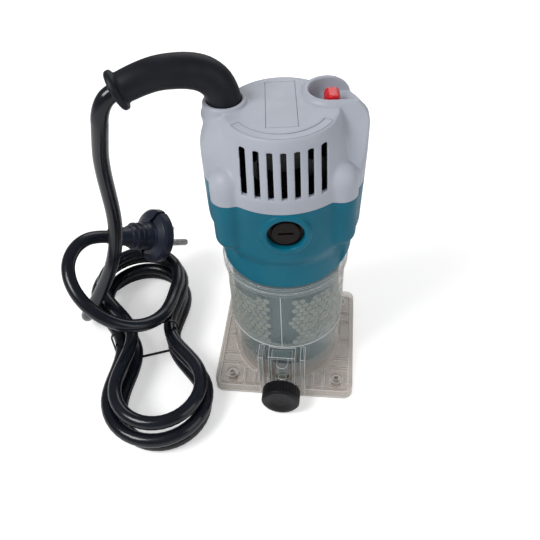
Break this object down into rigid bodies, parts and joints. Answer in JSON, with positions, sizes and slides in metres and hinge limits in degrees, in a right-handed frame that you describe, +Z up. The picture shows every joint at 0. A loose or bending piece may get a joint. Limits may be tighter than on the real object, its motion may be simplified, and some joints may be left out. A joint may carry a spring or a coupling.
{
  "type": "trim router",
  "caption": "Corded trim router: a teal motor unit with a blue-grey cap slides in a clear moulded base with a hexagon grip and a front guide screw; its cord is folded into a tied hank",
  "frame": {"origin": "centre of the cutter opening on the underside of the sole, on the spindle axis", "axes": "+Z up along the spindle, front with the guide screw faces -Y, +X to the right seen from the front"},
  "size_m": [0.1959, 0.1632, 0.2184],
  "materials": {
    "clear_plastic": "clear moulded polycarbonate, slightly smoky",
    "teal_plastic": "fine satin grain",
    "grey_plastic": "fine satin grain",
    "black_plastic": "satin",
    "brown_plastic": "thermoset, slight gloss",
    "red_plastic": "satin gloss",
    "black_rubber": "matte",
    "cord_sheath": "smooth vinyl, glossy",
    "plug_plastic": "soft vinyl, satin",
    "tie_wire": "coated wire",
    "steel": "machined, bright",
    "lamination_steel": "stacked laminations",
    "brass": "machined",
    "copper_wire": "enamelled copper",
    "carbon": "graphite block",
    "aluminium": "turned, satin"
  },
  "bodies": {
    "base": {"base_body": "clear_plastic", "sole_plate": "clear_plastic", "sole_screws": "steel", "guide_nut": "brass", "clamp_bolt": "steel", "cord_lead": "cord_sheath", "cord_hank": "cord_sheath", "cord_tail": "cord_sheath", "cord_tie": "tie_wire", "plug_body": "plug_plastic", "plug_pins": "steel"},
    "motor_unit": {"motor_housing": "teal_plastic", "motor_barrel": "aluminium", "top_cap": "grey_plastic", "cap_screws": "steel", "brush_cap_front": "brown_plastic", "brush_cap_rear": "brown_plastic", "brush_holders": "brown_plastic", "carbon_brushes": "carbon", "brush_springs": "steel", "stator_core": "lamination_steel", "field_coils": "copper_wire", "air_baffle": "black_plastic", "bearing_bridge": "black_plastic", "upper_bearing": "steel", "lower_bearing": "steel", "switch_body": "black_plastic", "cord_clamp": "black_plastic", "cord_clamp_screws": "steel", "cord_guard": "black_rubber", "cord_entry": "cord_sheath"},
    "rotor": {"rotor_shaft": "steel", "armature_core": "lamination_steel", "armature_winding": "copper_wire", "commutator": "copper_wire", "cooling_fan": "black_plastic"},
    "collet_sleeve": {"collet": "steel"},
    "spindle_nut": {"collet_nut": "steel"},
    "switch": {"switch_lever": "red_plastic"},
    "guide_screw": {"guide_stud": "steel"},
    "guide_screw_knob": {"guide_knob": "black_plastic"},
    "washer": {"clamp_washer": "steel"},
    "wing_nut": {"clamp_nut": "steel"}
  },
  "joints": [
    {"name": "depth_slide", "type": "slide", "parent": "base", "child": "motor_unit", "axis": [0, 0, 1], "range_m": [0, 0.035], "deforming": ["cord_lead"]},
    {"name": "spindle_spin", "type": "hinge", "parent": "motor_unit", "child": "rotor", "pos_m": [0, 0, 0.05], "axis": [0, 0, 1], "continuous": true},
    {"name": "collet_slide", "type": "slide", "parent": "rotor", "child": "collet_sleeve", "axis": [0, 0, -1], "range_m": [0, 0.0015]},
    {"name": "collet_nut_turn", "type": "hinge", "parent": "collet_sleeve", "child": "spindle_nut", "pos_m": [0, 0, 0.01], "axis": [0, 0, 1], "range_deg": [0, 540]},
    {"name": "switch_slide", "type": "slide", "parent": "motor_unit", "child": "switch", "axis": [-0.9932, -0.1167, 0], "range_m": [0, 0.0065]},
    {"name": "guide_screw_slide", "type": "slide", "parent": "base", "child": "guide_screw", "axis": [0, -1, 0], "range_m": [0, 0.0032]},
    {"name": "guide_knob_turn", "type": "hinge", "parent": "guide_screw", "child": "guide_screw_knob", "pos_m": [0, -0.05, 0.013], "axis": [0, -1, 0], "range_deg": [0, 1440]},
    {"name": "washer_slide", "type": "slide", "parent": "base", "child": "washer", "axis": [1, 0, 0], "range_m": [0, 0.002]},
    {"name": "wing_nut_turn", "type": "hinge", "parent": "washer", "child": "wing_nut", "pos_m": [0.015, 0.0408, 0.072], "axis": [1, 0, 0], "range_deg": [0, 720]}
  ],
  "couplings": [
    {"joint": "collet_slide", "follows": "collet_nut_turn", "m_per_rad": 0.00015915},
    {"joint": "guide_screw_slide", "follows": "guide_knob_turn", "m_per_rad": 0.00012732},
    {"joint": "washer_slide", "follows": "wing_nut_turn", "m_per_rad": 0.00015915}
  ]
}
